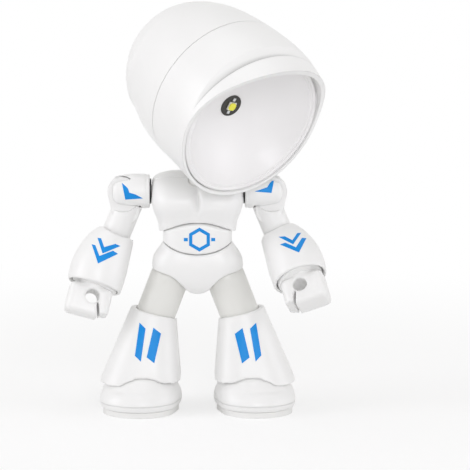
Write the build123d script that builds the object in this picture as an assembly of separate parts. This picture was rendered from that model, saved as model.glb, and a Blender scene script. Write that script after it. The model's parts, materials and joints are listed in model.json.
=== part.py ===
"""Robot shaped desk lamp: a small standing figure whose hooded head is the lamp.

Millimetres, +Z up. The figure faces -Y and its own left side is +X. It stands on z = 0 in its
display pose: head turned to its left and bent down, arms hanging and legs set apart.
"""
from build123d import *
import os
from math import cos, radians, sin, sqrt

# ---------------------------------------------------------------- driving dimensions
# fits and walls
moving_gap = 0.20         # between pieces that move on each other
parting_gap = 0.12        # shadow line between fixed pieces
pin_fit = 0.05            # radial, a pin in a bore that turns on it
seat_fit = 0.02           # radial, a pin or screw in the piece that holds it
shell_wall = 1.2

# waist axis, measured from the centre of the whole figure's footprint
stand_x, stand_y = 0.0, 9.3

# head, in its own frame: dome centre at the origin, -Y out of the face, +Z out of the crown
head_yaw, head_pitch = 36.0, 26.8
dome_radius, dome_join = 16.7, 6.0         # the dome goes over into the hood this far behind its centre
pivot_ahead, pivot_below = 6.6, 15.3
# ahead of the dome centre, raised, half width, half height
hood_stations = [(0.0, 0.25, 16.9, 17.5), (6.0, 0.4, 17.85, 18.5), (12.0, 0.85, 18.25, 18.8),
                 (18.0, 0.95, 18.5, 18.9), (24.0, 0.35, 18.0, 18.65), (30.5, 0.0, 17.45, 18.65)]
mouth_ahead, lip_ahead = 21.5, 0.5
# the front edge leaves the lip at visor_low_z and has run this far forward where it is visor_top_z up
visor_low_z, visor_top_z, visor_reach = -1.8, 21.0, 9.0
visor_wall, lip_wall = 1.7, 0.75
seam_ahead = 9.1
tongue_reach, tongue_back, tongue_wall = 1.6, 1.0, 0.9     # locating lip behind the seam
tongue_neck_break = (12.0, 24.0, 16.0)   # the lip is left out over the neck's slot
tongue_boss_break, tongue_break_out = (10.0, 14.0, 4.6), 2.4     # and round the side bosses
brow_ahead, brow_lean, brow_depth, brow_run, brow_half_angle = 21.1, 7.0, 0.9, 4.2, 66.0
shoulder_ahead = mouth_ahead - 5.3       # where the hood's wall thickens to carry the bowl
head_boss_side, head_boss_radius, head_boss_raised, head_boss_end = 12.6, 1.9, -4.0, -13.0
head_boss_web, head_boss_back = 1.6, 1.2     # web thickness; boss behind the screws' seat
head_screw_radius, head_screw_head, head_screw_head_thick = 0.7, 1.25, 0.9
head_screw_seat, head_screw_tip = 0.0, -12.0
head_wall_cover = 0.3                    # how far bosses and ears stay inside the head's outside

# reflector bowl and light
bowl_radius, bowl_depth, ring_outer, ring_thick, bowl_wall = 15.7, 8.5, 17.15, 1.0, 0.9
ring_ledge = 0.8                         # how far the ring laps over the ledge that carries it
board_radius, board_thick, board_sunk, board_roll = 2.6, 1.0, 8.15, 12.0
bowl_boss_radius, bowl_boss_length = 3.9, 1.9
chip_size, chip_thick, phosphor_across, phosphor_rise = 1.9, 0.35, 1.75, 0.25
pad_width, pad_length, pad_thick, pad_offset = 0.7, 0.75, 0.12, 1.6

# power and switch
cell_radius, cell_thick, cell_count, cell_gap = 5.8, 5.4, 3, 0.1
cells_back, cells_above = 2.2, 1.0
cradle_wall, contact_thick, cradle_low, cradle_high = 1.0, 0.3, 8.5, 9.0
contact_radius, contact_tab_width, contact_tab_length = 3.6, 2.4, 3.2
button_radius, button_stand, button_length = 2.6, 0.9, 3.0
switch_width, switch_depth, switch_back = 6.4, 3.4, dome_radius - 2.8
switch_front = switch_back - switch_depth

# neck
neck_y, tilt_pivot_z = -1.5, 60.9
neck_post_radius, knuckle_radius, knuckle_width = 1.9, 2.2, 4.0
tilt_pin_radius, tilt_ear_thick, tilt_ear_radius = 0.8, 1.8, 2.3
tilt_up, tilt_down = 36.0, 0.0
neck_foot_radius, neck_foot_thick, neck_foot_z = 2.7, 1.3, 49.5
neck_slot_gap, neck_slot_depth = 0.35, 12.0

# chest: height, half width, depth, corner, set back
chest_rings = [(40.6, 8.2, 8.2, 3.6, 0.0), (43.4, 9.0, 8.8, 3.9, 0.0), (45.8, 9.8, 10.2, 4.3, -0.2),
               (48.4, 10.4, 11.4, 4.4, -0.2), (50.6, 10.4, 10.6, 4.2, 0.0), (52.6, 10.4, 8.6, 3.8, 1.0),
               (53.9, 9.9, 6.0, 2.7, 2.4), (55.2, 5.4, 4.0, 1.8, 3.0)]
pec_groove_width, pec_groove_length, pec_groove_lean = 1.3, 6.6, 9.0
pec_groove_y, pec_groove_z = -5.75, 49.6
dome_seat_radius, dome_seat_apex = 14.0, 44.7
chest_screw_x, chest_screw_z, chest_screw_seat, chest_screw_tip = 6.6, 45.9, 2.6, -2.8
body_screw_radius, body_screw_head, body_screw_head_thick = 0.8, 1.45, 1.1

# belly and pelvis
belly_width, belly_depth, belly_corner = 15.8, 10.4, 4.2
belly_arc_radius, belly_low_z = 13.2, 36.8
# height, half width, depth, corner, set back
pelvis_rings = [(26.9, 6.6, 6.4, 3.1, 0.0), (29.4, 8.6, 11.0, 4.8, 0.0), (32.0, 10.0, 12.6, 5.2, 0.0),
                (34.4, 10.4, 12.8, 5.0, 0.0), (37.4, 9.1, 11.8, 4.6, 0.0), (40.2, 7.7, 10.2, 4.0, 0.0)]
waist_peg_radius, waist_peg_low_z = 1.9, 35.3
waist_foot_radius, waist_foot_thick, waist_foot_z = 3.1, 1.4, 46.8
pelvis_screw_z, pelvis_screw_seat, pelvis_screw_tip = 33.3, 3.6, -3.6
screw_mouth = 9.0                        # how far back the body screws' counterbores run

# shoulders and arms
shoulder_y, shoulder_z = 1.4, 50.6
cap_inner, cap_outer, cap_radius = 10.9, 19.6, 3.95
shoulder_peg_radius, shoulder_peg_outer, shoulder_peg_end = 1.5, 12.6, 5.6
shoulder_foot_radius, shoulder_foot_thick = 2.0, 1.0
knuckle_x, arm_knuckle_radius, arm_neck_half = 17.1, 3.4, 2.3
arm_top_x, arm_top_z, arm_radius = 16.4, 46.3, 3.3
arm_pin_radius, arm_pin_half = 0.75, 3.2
arm_tilt, arm_raise, arm_lower, cheek_reach = 23.0, 75.0, 2.0, 4.45
elbow_x, elbow_z = 18.95, 40.1
# drop below the elbow, shift outward, lean of the section, radius
gauntlet_rings = [(-0.5, -0.1, 2.0, 4.4), (1.85, 0.3, 6.0, 5.25), (5.55, 0.65, 2.0, 6.15),
                  (9.45, 0.55, -3.0, 6.5), (12.75, 0.1, -5.0, 6.25)]
cuff_depth, cuff_radius = 2.8, 5.6
elbow_most = 46.0                         # largest bend
elbow_pin_radius, elbow_pin_half = 0.75, 4.2
left_bend, left_outward = 39.0, 26.0      # how each forearm hangs
right_bend, right_outward = 21.0, 23.0
wrist_side, wrist_drop, hand_tilt_back = 0.2, 15.45, 8.0
wrist_boss_radius, wrist_peg_radius, wrist_foot_radius = 3.4, 1.6, 2.1
wrist_foot_thick, wrist_foot_in = 1.2, 2.2
hand_outer, hand_inner, hand_above, hand_below, hand_depth = 5.5, 4.5, 2.6, 4.4, 6.6
finger_inner, thumb_below, hand_edge, hand_corner = 2.7, 3.4, 1.5, 1.1
grip_radius, grip_slot, grip_slot_lean = 1.6, 0.5, 18.0

# legs
hip_x, hip_z, thigh_radius, thigh_tilt, thigh_length = 6.5, 30.6, 4.5, 21.0, 10.9
hip_axle_radius, hip_axle_half, hip_range = 1.0, 8.2, 24.0
knee_range, knee_pin_radius, knee_pin_half = 34.0, 1.0, 5.3
boot_tilt, boot_top_x, boot_top_z, boot_top_width, boot_top_corner = 12.5, 10.05, 23.1, 10.6, 5.2
boot_low_x, boot_low_z, boot_low_width, boot_low_depth, boot_low_corner = 13.15, 6.4, 18.9, 17.1, 6.6
ankle_x, ankle_ball_radius, boot_front_low_z, boot_sweep_radius = 12.7, 12.0, 8.4, 10.6
foot_splay = 15.0
# height, width, length, corner, ahead of the ankle
foot_rings = [(1.3, 17.0, 20.0, 8.2, 1.5), (3.4, 17.9, 20.8, 8.6, 1.4), (6.4, 16.4, 17.2, 8.0, 1.2),
              (8.7, 13.2, 13.8, 6.5, 0.9), (11.0, 7.6, 8.4, 3.7, 0.4)]
sole_thick, sole_inset, sole_ahead, sole_width, sole_length, sole_corner = 1.28, 0.2, 1.5, 16.9, 19.9, 8.2
ankle_screw_radius, ankle_head_radius, ankle_head_thick, ankle_screw_top = 1.0, 2.0, 1.1, 14.6


# ---------------------------------------------------------------- helpers
def turned(outline):
    """Solid of revolution about Y from a closed outline drawn in XY at x >= 0."""
    return revolve(make_face(outline), Axis.Y, 360)


def rod(radius, start, end):
    """Round bar from one point to another."""
    a, b = Vector(*start), Vector(*end)
    return Plane(origin=(a + b) / 2, z_dir=b - a) * Cylinder(radius, (b - a).length)


def ahead_of(frame, reach=120.0):
    """Everything on the -Y side of a frame's XZ plane."""
    return frame * Box(reach, reach, reach, align=(Align.CENTER, Align.MAX, Align.CENTER))


def lean(x, y, z, outward, forward=0.0):
    """Frame of a left limb: -Z runs down it, leaning outward (+X) and then forward (-Y)."""
    return Pos(x, y, z) * Rot(0, -outward, 0) * Rot(-forward, 0, 0)


def without(shape, tools):
    """A shape with each of several tools cut away in turn."""
    for tool in tools:
        shape = shape - tool
    return shape


def steps(low, high, count):
    """Evenly spaced values from low to high."""
    return [low + (high - low) * i / (count - 1) for i in range(count)]


def stack(rings):
    """Loft through level rounded rectangles given as height, half width, depth, corner, set back."""
    return loft([Pos(0, set_back, z) * RectangleRounded(2 * half, depth, corner)
                 for z, half, depth, corner, set_back in rings])


def screw_along_y(radius, head_radius, head_thick, seat_y, tip_y):
    """Screw lying on the Y axis, its head behind seat_y and its tip ahead at tip_y."""
    return (rod(radius, (0, seat_y + 0.01, 0), (0, tip_y, 0))
            + rod(head_radius, (0, seat_y, 0), (0, seat_y + head_thick, 0))
            - Pos(0, seat_y + head_thick, 0) * Box(0.45 * head_radius, 0.9, 1.5 * head_radius)
            - Pos(0, seat_y + head_thick, 0) * Box(1.5 * head_radius, 0.9, 0.45 * head_radius))


def screw_room_along_y(radius, head_radius, seat_y, tip_y, mouth_y):
    """Bore and counterbore for such a screw, with room behind its tip."""
    return (rod(radius + seat_fit, (0, seat_y + 0.01, 0), (0, tip_y - 0.3, 0))
            + rod(head_radius + 0.1, (0, seat_y - seat_fit, 0), (0, mouth_y, 0)))


def right_of(shape):
    """The right side's copy of a left piece."""
    return mirror(shape, Plane.YZ)


def pair(shape):
    """A left piece and its right copy as one shape."""
    return shape + right_of(shape)


os.makedirs("parts", exist_ok=True)
to_footprint = Pos(stand_x, stand_y, 0)


def save(name, shape):
    """Writes one node's STEP, moved from the waist axis to the footprint's centre."""
    export_step(to_footprint * shape, f"parts/{name}.step")


# ---------------------------------------------------------------- head
tilt_pivot = (0, neck_y, tilt_pivot_z)
neck_frame = Pos(0, neck_y, 0) * Rot(0, 0, head_yaw)
head_frame = (Pos(*tilt_pivot) * Rot(0, 0, head_yaw) * Rot(head_pitch, 0, 0)
              * Pos(0, pivot_ahead, pivot_below))
seam_frame = Pos(0, -seam_ahead, 0)
head_pivot = (0, -pivot_ahead, -pivot_below)


def facing(y, z=0.0):
    """Plane square to the face's axis, its x to the head's left and its y up."""
    return Plane(origin=(0, y, z), x_dir=(1, 0, 0), z_dir=(0, -1, 0))


def hood_ring(station, side, low, high):
    """One of the hood's ellipses, drawn in by some amount at its sides, below and above."""
    ahead, raised, half_width, half_height = station
    return (facing(-ahead, raised + (low - high) / 2)
            * Ellipse(half_width - side, half_height - (low + high) / 2))


def head_form(inset):
    """Dome and hood as one closed form, all round smaller by inset."""
    radius = dome_radius - inset
    join = sqrt(radius ** 2 - dome_join ** 2)
    rings = [facing(dome_join) * Circle(join)]
    rings += [hood_ring(station, inset, inset, inset) for station in hood_stations]
    half_way = radians(35)
    dome = turned([Line((0, dome_join), (join, dome_join)),
                   ThreePointArc((join, dome_join), (radius * sin(half_way), radius * cos(half_way)),
                                 (0, radius)),
                   Line((0, radius), (0, dome_join))])
    return loft(rings) + dome


def along_face(radius, start_ahead, end_ahead):
    """Round bar on the face's axis between two distances ahead."""
    return rod(radius, (0, -start_ahead, 0), (0, -end_ahead, 0))


def brow_cutter():
    """Crescent that steps the hood in behind its brow band and runs out down both sides."""
    crown = hood_stations[4][1] + hood_stations[4][3]
    drop = brow_depth / (1 - cos(radians(brow_half_angle))) - brow_depth
    deep = crown - brow_depth + drop
    clear = deep + brow_depth + 2.5
    outline = [Line((deep, 0), (clear, -0.8)),
               Line((clear, -0.8), (clear, brow_run + 1.5)),
               ThreePointArc((clear, brow_run + 1.5), (deep + 0.7, 0.45 * brow_run), (deep, 0))]
    return Pos(0, -brow_ahead, 0) * Rot(brow_lean, 0, 0) * Pos(0, 0, -drop) * turned(outline)


def ahead_of_edge():
    """Everything ahead of the hood's front edge, which sweeps forward from the lip into a visor."""
    lip = -mouth_ahead - lip_ahead
    top = (lip - visor_reach, visor_top_z)
    sweep = Bezier((lip, visor_low_z), (lip, (visor_low_z + visor_top_z) / 2), top)
    outline = [sweep, Line(top, (-60, visor_top_z)), Line((-60, visor_top_z), (-60, -30)),
               Line((-60, -30), (lip, -30)), Line((lip, -30), (lip, visor_low_z))]
    return extrude(Plane.YZ * make_face(outline), 40, both=True)


def mouth_room():
    """The open mouth ahead of the bowl's ring, its wall thin at the lip and thick under the brow."""
    form = loft([hood_ring(station, lip_wall, lip_wall, visor_wall) for station in hood_stations[2:]])
    return form & ahead_of(Pos(0, -mouth_ahead, 0))


def neck_slot():
    """Cuts for the slot in the head's underside that the neck swings through."""
    half = neck_post_radius + neck_slot_gap
    bar = Box(2 * half, 2 * half, neck_slot_depth, align=(Align.CENTER, Align.CENTER, Align.MAX))
    tools = [Pos(*head_pivot) * Rot(angle, 0, 0) * bar
             for angle in steps(-head_pitch - tilt_down, tilt_up - head_pitch, 5)]
    tools.append(rod(knuckle_radius + 0.4, (-knuckle_width / 2 - moving_gap, *head_pivot[1:]),
                     (knuckle_width / 2 + moving_gap, *head_pivot[1:])))
    return tools


def tilt_ears():
    """Two lugs that stand on the rear shell's floor to either side of the neck's knuckle."""
    inner = knuckle_width / 2 + moving_gap
    lug = rod(tilt_ear_radius, (inner, *head_pivot[1:]), (inner + tilt_ear_thick, *head_pivot[1:]))
    foot = Pos(inner + tilt_ear_thick / 2, head_pivot[1], head_pivot[2] - tilt_ear_radius)
    lug = lug + foot * Box(tilt_ear_thick, 2 * tilt_ear_radius, 2 * tilt_ear_radius)
    return pair(lug) & head_form(head_wall_cover)


def side_bosses():
    """The two round bosses that the head's screws run through, each on a web from the side wall."""
    back = head_screw_seat + head_boss_back
    boss = rod(head_boss_radius, (head_boss_side, back, head_boss_raised),
               (head_boss_side, head_boss_end, head_boss_raised))
    web = (Pos(head_boss_side, head_boss_end, head_boss_raised)
           * Box(9, back - head_boss_end, head_boss_web, align=(Align.MIN, Align.MIN, Align.CENTER)))
    return pair(boss + web) & head_form(head_wall_cover)


def head_screw_rooms():
    """Bores and counterbores for the two screws that hold the head's shells together."""
    return pair(Pos(head_boss_side, 0, head_boss_raised) * screw_room_along_y(
        head_screw_radius, head_screw_head, head_screw_seat, head_screw_tip, dome_radius))


def head_shells():
    """Rear dome and front hood, parted square to the face with a locating lip between them."""
    room = head_form(shell_wall) - ahead_of(Pos(0, -shoulder_ahead, 0))
    step_room = along_face(ring_outer - ring_ledge, shoulder_ahead - 0.01, mouth_ahead)
    ring_room = along_face(ring_outer + parting_gap, mouth_ahead - ring_thick - seat_fit, mouth_ahead + 0.01)
    shell = head_form(0) - room + side_bosses() + tilt_ears()
    shell = without(shell, [step_room, ring_room, mouth_room()] + neck_slot()) - head_screw_rooms()

    rear = shell - ahead_of(seam_frame * Pos(0, parting_gap / 2, 0))
    pin_bore = rod(tilt_pin_radius + seat_fit, (-5, *head_pivot[1:]), (5, *head_pivot[1:]))
    button_bore = rod(button_radius + pin_fit, (0, 12, 0), (0, 25, 0))
    rear = rear - pin_bore - button_bore

    front = shell & ahead_of(seam_frame * Pos(0, -parting_gap / 2, 0))
    front = front - ahead_of_edge() - brow_cutter()

    # the tongue that locates the shells: an inner band behind the seam, bridged to the hood's wall
    inner = head_form(shell_wall + tongue_wall)
    ahead_of_tongue = ahead_of(seam_frame * Pos(0, -tongue_back, 0))
    tongue = (head_form(shell_wall + parting_gap) - inner) & (
        ahead_of(seam_frame * Pos(0, tongue_reach, 0)) - ahead_of_tongue)
    bridge = (head_form(shell_wall - 0.3) - inner) & (
        ahead_of(seam_frame * Pos(0, -parting_gap / 2, 0)) - ahead_of_tongue)
    keep_out = (Pos(0, -seam_ahead, -dome_radius) * Box(*tongue_neck_break)
                + pair(Pos(head_boss_side + tongue_break_out, -seam_ahead, head_boss_raised)
                       * Box(*tongue_boss_break)))
    return rear, front + ((tongue + bridge) - keep_out)


def reflector_bowl():
    """Dished bowl with a flat outer ring and a boss behind for the light's board."""
    rim = -mouth_ahead
    floor = rim + bowl_depth
    sphere = (bowl_radius ** 2 + bowl_depth ** 2) / (2 * bowl_depth)
    middle = floor - sphere
    outer = sphere + bowl_wall
    meet = sqrt(outer ** 2 - (rim + ring_thick - middle) ** 2)
    half_in = radians(29)
    dish_mid = (sphere * sin(half_in), middle + sphere * cos(half_in))
    back_mid = (outer * sin(half_in), middle + outer * cos(half_in))
    outline = [Line((0, floor), (0, floor + bowl_wall)),
               ThreePointArc((0, floor + bowl_wall), back_mid, (meet, rim + ring_thick)),
               Line((meet, rim + ring_thick), (ring_outer, rim + ring_thick)),
               Line((ring_outer, rim + ring_thick), (ring_outer, rim)),
               Line((ring_outer, rim), (bowl_radius, rim)),
               ThreePointArc((bowl_radius, rim), dish_mid, (0, floor))]
    boss = rod(bowl_boss_radius, (0, floor - 0.4, 0), (0, floor + bowl_boss_length, 0))
    inside = Pos(0, middle, 0) * Sphere(sphere)
    pocket_floor = rim + board_sunk + board_thick + seat_fit
    return (turned(outline) + (boss - inside)
            - rod(board_radius + seat_fit, (0, rim, 0), (0, pocket_floor, 0))
            - rod(board_radius - 0.9, (0, rim, 0), (0, floor + 5, 0)))


board_front_y = -mouth_ahead + board_sunk


def led_pieces():
    """Round board, the chip on it, the chip's eight sided yellow window and two solder pads."""
    roll = Rot(0, board_roll, 0)
    board = rod(board_radius, (0, board_front_y, 0), (0, board_front_y + board_thick, 0))
    chip = Pos(0, board_front_y - chip_thick / 2, 0) * Box(chip_size, chip_thick, chip_size)
    window = extrude(facing(board_front_y - chip_thick)
                     * Rectangle(phosphor_across, phosphor_across), phosphor_rise)
    window = chamfer(window.edges().filter_by(Axis.Y), 0.25 * phosphor_across)
    pads = [Pos(0, board_front_y - pad_thick / 2, side * pad_offset) * Box(pad_width, pad_thick, pad_length)
            for side in (-1, 1)]
    return board, roll * chip, roll * window, roll * (pads[0] + pads[1])


stack_length = cell_count * cell_thick + (cell_count - 1) * cell_gap
cell_axis = Pos(0, cells_back, cells_above)


def button_cells():
    """Three round cells side by side across the head."""
    cells = None
    for i in range(cell_count):
        x = (i - (cell_count - 1) / 2) * (cell_thick + cell_gap)
        cell = cell_axis * (rod(cell_radius, (x - cell_thick / 2, 0, 0), (x + cell_thick / 2 - 0.5, 0, 0))
                            + rod(cell_radius - 0.7, (x + cell_thick / 2 - 0.51, 0, 0),
                                  (x + cell_thick / 2, 0, 0)))
        cells = cell if cells is None else cells + cell
    return cells


def battery_contacts():
    """Two spring plates, one at each end of the cells."""
    near = stack_length / 2 + 0.05
    plate = rod(contact_radius, (near, 0, 0), (near + contact_thick, 0, 0))
    tab = (Pos(near + contact_thick / 2, 0, contact_radius)
           * Box(contact_thick, contact_tab_width, contact_tab_length))
    return cell_axis * pair(plate + tab)


def battery_cradle():
    """Trough open to the front, with end plates cut to the dome and a pad behind for the switch."""
    end_in = stack_length / 2 + 0.1 + contact_thick
    end_out = end_in + cradle_wall
    trough_radius = cell_radius + 0.1 + cradle_wall
    trough = cell_axis * (rod(trough_radius, (-end_out, 0, 0), (end_out, 0, 0))
                          - rod(cell_radius + 0.1, (-end_in, 0, 0), (end_in, 0, 0))
                          - Pos(0, -10 - 1.0, 0) * Box(40, 20, 40))
    plates = pair(Pos((end_in + end_out) / 2, cells_back + 4, (cradle_high - cradle_low) / 2)
                  * Box(cradle_wall, 14, cradle_high + cradle_low))
    web_front = cells_back + trough_radius - 1.0
    web = (Pos(0, (web_front + switch_front) / 2, 0)
           * Box(switch_width + 2, switch_front - web_front, switch_width + 2))
    room = rod(cell_radius + 0.1, (-end_in, cells_back, cells_above), (end_in, cells_back, cells_above))
    return trough + ((plates + (web - room)) & head_form(shell_wall + seat_fit))


def switch_body():
    """Square push switch whose stem is met by the button."""
    front = switch_front + seat_fit
    return Pos(0, (front + switch_back) / 2, 0) * Box(switch_width, switch_back - front, switch_width)


def switch_button():
    """Round button that stands out of the dome's back and reaches in towards the switch."""
    top = dome_radius + button_stand
    outline = [Line((0, top), (button_radius - 0.5, top - 0.12)),
               ThreePointArc((button_radius - 0.5, top - 0.12),
                             (button_radius - 0.13, top - 0.28), (button_radius, top - 0.65)),
               Line((button_radius, top - 0.65), (button_radius, top - button_length)),
               Line((button_radius, top - button_length), (0, top - button_length)),
               Line((0, top - button_length), (0, top))]
    return turned(outline)


def head_screws():
    """The two screws through the side bosses."""
    return pair(Pos(head_boss_side, 0, head_boss_raised)
                * screw_along_y(head_screw_radius, head_screw_head, head_screw_head_thick,
                                head_screw_seat, head_screw_tip))


def head_tilt_pin():
    """Pin through the ears and the neck's knuckle."""
    half = knuckle_width / 2 + moving_gap + tilt_ear_thick
    return rod(tilt_pin_radius, (-half, *head_pivot[1:]), (half, *head_pivot[1:]))


head_rear_shell, head_hood_shell = head_shells()
led_board, led_package, led_phosphor, led_solder_pads = led_pieces()
save("head_rear_shell", head_frame * head_rear_shell)
save("head_hood_shell", head_frame * head_hood_shell)
save("reflector_bowl", head_frame * reflector_bowl())
save("led_board", head_frame * led_board)
save("led_package", head_frame * led_package)
save("led_phosphor", head_frame * led_phosphor)
save("led_solder_pads", head_frame * led_solder_pads)
save("button_cells", head_frame * button_cells())
save("battery_contacts", head_frame * battery_contacts())
save("battery_cradle", head_frame * battery_cradle())
save("switch_body", head_frame * switch_body())
save("switch_button", head_frame * switch_button())
save("head_screws", head_frame * head_screws())
save("head_tilt_pin", head_frame * head_tilt_pin())


# ---------------------------------------------------------------- neck
def neck_post():
    """Knuckle, post and the foot disc that keeps the neck in the chest."""
    knuckle = rod(knuckle_radius, (-knuckle_width / 2, 0, tilt_pivot_z),
                  (knuckle_width / 2, 0, tilt_pivot_z))
    post = rod(neck_post_radius, (0, 0, neck_foot_z + 0.1), (0, 0, tilt_pivot_z))
    foot = rod(neck_foot_radius, (0, 0, neck_foot_z), (0, 0, neck_foot_z + neck_foot_thick))
    bore = rod(tilt_pin_radius + pin_fit, (-5, 0, tilt_pivot_z), (5, 0, tilt_pivot_z))
    return neck_frame * (knuckle + post + foot - bore)


save("neck_post", neck_post())


# ---------------------------------------------------------------- chest
dome_seat = Pos(0, 0, dome_seat_apex - dome_seat_radius)


def disc_room(radius, thick, low_z, slack=0.15):
    """Room for a level disc on the Z axis, with slack all round."""
    return rod(radius + slack, (0, 0, low_z - slack), (0, 0, low_z + thick + slack))


def chest_halves():
    """Front and rear halves of the chest, parted on the waist axis, with pockets for the joints."""
    groove = (Pos(0, pec_groove_y, pec_groove_z) * Rot(-pec_groove_lean, 0, 0) * Rot(0, 0, 45)
              * Box(pec_groove_width, pec_groove_width, pec_groove_length))
    form = stack(chest_rings) - groove - dome_seat * Sphere(dome_seat_radius)
    waist = (rod(waist_peg_radius + pin_fit, (0, 0, 40), (0, 0, waist_foot_z + 0.1))
             + disc_room(waist_foot_radius, waist_foot_thick, waist_foot_z))
    neck = Pos(0, neck_y, 0) * (rod(neck_post_radius + pin_fit, (0, 0, neck_foot_z), (0, 0, 60))
                                + disc_room(neck_foot_radius, neck_foot_thick, neck_foot_z))
    neck_way = (Pos(0, neck_y / 2, 55) * Box(2 * (neck_post_radius + pin_fit), -neck_y, 10)
                + Pos(0, neck_y / 2, neck_foot_z + neck_foot_thick / 2)
                * Box(2 * neck_foot_radius + 0.3, -neck_y, neck_foot_thick + 0.3))
    bore = rod(shoulder_peg_radius + pin_fit, (shoulder_peg_end - 0.2, shoulder_y, shoulder_z),
               (cap_inner + 3, shoulder_y, shoulder_z))
    foot_in = shoulder_peg_end - shoulder_foot_thick
    foot = rod(shoulder_foot_radius + 0.15, (foot_in - 0.15, shoulder_y, shoulder_z),
               (shoulder_peg_end + 0.15, shoulder_y, shoulder_z))
    shoulders = pair(bore + foot)
    shoulder_way = shoulders + Pos(0, -shoulder_y / 2, 0) * shoulders + Pos(0, -shoulder_y, 0) * shoulders
    screws = pair(Pos(chest_screw_x, 0, chest_screw_z) * screw_room_along_y(
        body_screw_radius, body_screw_head, chest_screw_seat, chest_screw_tip, screw_mouth))
    form = form - waist - neck - screws
    front = (form - shoulders) & ahead_of(Pos(0, -parting_gap / 2, 0))
    rear = (form - shoulder_way) - ahead_of(Pos(0, parting_gap / 2, 0))
    return front - neck_way, rear


def chest_screws():
    """The two screws that hold the chest's halves together."""
    return pair(Pos(chest_screw_x, 0, chest_screw_z)
                * screw_along_y(body_screw_radius, body_screw_head, body_screw_head_thick,
                                chest_screw_seat, chest_screw_tip))


chest_front_shell, chest_rear_shell = chest_halves()
save("chest_front_shell", chest_front_shell)
save("chest_rear_shell", chest_rear_shell)
save("chest_screws", chest_screws())


# ---------------------------------------------------------------- belly, pelvis and hips
belly_cylinder = rod(belly_arc_radius, (0, -20, belly_low_z + belly_arc_radius),
                     (0, 20, belly_low_z + belly_arc_radius))


def belly_block():
    """Block with a domed top that the chest turns on and a rounded lower edge set in the pelvis."""
    section = Pos(0, 0, dome_seat_apex) * RectangleRounded(belly_width, belly_depth, belly_corner)
    block = extrude(section, -(dome_seat_apex - belly_low_z))
    block = block & dome_seat * Sphere(dome_seat_radius - moving_gap) & belly_cylinder
    return block - rod(waist_peg_radius + seat_fit, (0, 0, 30), (0, 0, 50))


def waist_peg():
    """Post through the belly, with the foot disc that keeps the chest on."""
    return (rod(waist_peg_radius, (0, 0, waist_peg_low_z), (0, 0, waist_foot_z + 0.1))
            + rod(waist_foot_radius, (0, 0, waist_foot_z), (0, 0, waist_foot_z + waist_foot_thick)))


def thigh_bar(radius, length, swing=0.0):
    """Round bar down the left thigh's axis from the hip, swung forward about it."""
    frame = Pos(hip_x, 0, hip_z) * Rot(-swing, 0, 0) * Rot(0, -thigh_tilt, 0)
    return frame * rod(radius, (0, 0, 0), (0, 0, -length))


def hem_outline():
    """What lies above the pelvis's lower edge, seen from the front."""
    half = [(0, 27.5), (2.7, 28.6), (4.3, 30.5), (6.9, 32.3), (9.9, 33.0), (14, 33.6)]
    right = [ThreePointArc(half[0], (1.5, 27.8), half[1]),
             ThreePointArc(half[1], (3.4, 29.6), half[2]),
             ThreePointArc(half[2], (5.5, 31.6), half[3]),
             Line(half[3], half[4]), Line(half[4], half[5]), Line(half[5], (14, 60)),
             Line((14, 60), (0, 60)), Line((0, 60), half[0])]
    return pair(extrude(Plane.XZ * make_face(right), 20, both=True))


def pelvis_halves():
    """Front and rear halves of the pelvis with ball sockets for the thighs."""
    form = (stack(pelvis_rings) & hem_outline()) - Pos(0, 0, -parting_gap) * belly_cylinder
    socket = [Pos(hip_x, 0, hip_z) * Sphere(thigh_radius + moving_gap + 0.06)]
    socket += [thigh_bar(thigh_radius + moving_gap, 14, swing)
               for swing in steps(-hip_range - 1, hip_range + 1, 5)]
    form = without(form, socket + [right_of(tool) for tool in socket])
    form = form - rod(hip_axle_radius + seat_fit, (-12, 0, hip_z), (12, 0, hip_z))
    form = form - rod(waist_peg_radius + seat_fit, (0, 0, waist_peg_low_z - 0.1), (0, 0, 50))
    form = form - Pos(0, 0, pelvis_screw_z) * screw_room_along_y(
        body_screw_radius, body_screw_head, pelvis_screw_seat, pelvis_screw_tip, screw_mouth)
    front = form & ahead_of(Pos(0, -parting_gap / 2, 0))
    return front, form - ahead_of(Pos(0, parting_gap / 2, 0))


def hip_axle():
    """Bar across the pelvis that both thighs turn on."""
    return rod(hip_axle_radius, (-hip_axle_half, 0, hip_z), (hip_axle_half, 0, hip_z))


pelvis_front_shell, pelvis_rear_shell = pelvis_halves()
save("belly_block", belly_block())
save("waist_peg", waist_peg())
save("pelvis_front_shell", pelvis_front_shell)
save("pelvis_rear_shell", pelvis_rear_shell)
save("pelvis_screw", Pos(0, 0, pelvis_screw_z) * screw_along_y(
    body_screw_radius, body_screw_head, body_screw_head_thick, pelvis_screw_seat, pelvis_screw_tip))
save("hip_axle", hip_axle())


# ---------------------------------------------------------------- shoulders and arms (left side)
arm_pivot = (knuckle_x, shoulder_y, shoulder_z)


def arm_raised(shape, angle):
    """A left arm's shape swung outward about its pivot in the shoulder."""
    return Pos(*arm_pivot) * Rot(0, -angle, 0) * Pos(-knuckle_x, -shoulder_y, -shoulder_z) * shape


def arm_neck(gap=0.0):
    """Flat upper end of the arm: the knuckle's disc drawn out to the tube's width."""
    outline = make_hull([CenterArc((knuckle_x, shoulder_z), arm_knuckle_radius + gap, 0, 360),
                         CenterArc((arm_top_x, arm_top_z), arm_radius - 0.2 + gap, 0, 360)])
    return Pos(0, shoulder_y, 0) * extrude(Plane.XZ * outline, arm_neck_half + gap, both=True)


def arm_tube(gap=0.0):
    """Round part of the upper arm, down to the elbow."""
    run = Vector(elbow_x - arm_top_x, 0, elbow_z - arm_top_z).normalized()
    top = Vector(arm_top_x, shoulder_y, arm_top_z) - run * 2.0
    low = Vector(elbow_x, shoulder_y, elbow_z)
    clear = rod(cheek_reach - gap, (knuckle_x, shoulder_y - 9, shoulder_z),
                (knuckle_x, shoulder_y + 9, shoulder_z))
    return rod(arm_radius + gap, tuple(top), tuple(low)) - clear


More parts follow.
